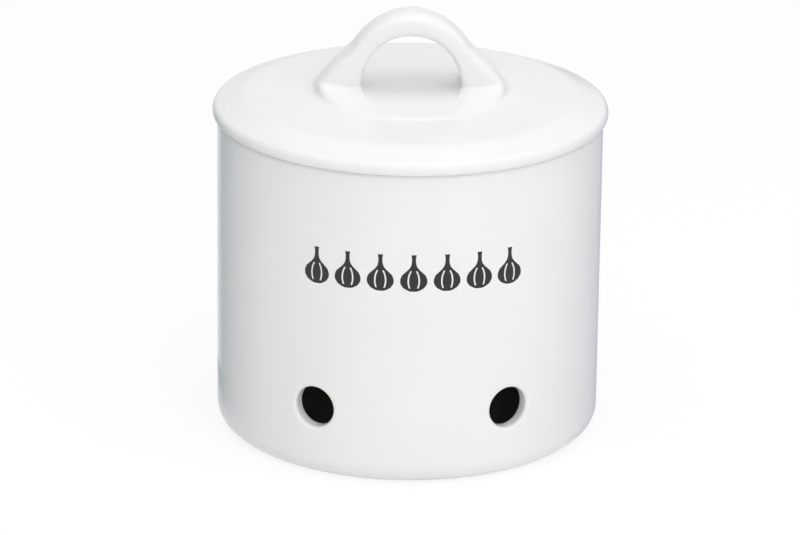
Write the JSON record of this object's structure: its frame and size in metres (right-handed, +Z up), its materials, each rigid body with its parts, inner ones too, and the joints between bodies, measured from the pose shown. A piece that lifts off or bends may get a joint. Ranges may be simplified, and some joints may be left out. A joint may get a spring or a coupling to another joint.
{
  "type": "garlic keeper",
  "caption": "Round glazed ceramic garlic keeper: a straight-sided jar with vent holes near its base, and a lift-off lid with an arched handle.",
  "frame": {"origin": "centre of the jar's base, on the surface it stands on", "axes": "+Z up along the jar's axis, +X to the right along the handle, the front with one pair of vents faces -Y"},
  "size_m": [0.128, 0.128, 0.1398],
  "materials": {
    "white_glaze": "gloss"
  },
  "bodies": {
    "jar": {"jar": "white_glaze"},
    "lid": {"lid": "white_glaze", "handle": "white_glaze"}
  },
  "joints": [
    {"name": "lid_lift", "type": "slide", "parent": "jar", "child": "lid", "axis": [0, 0, 1], "range_m": [0, 0.1]}
  ]
}
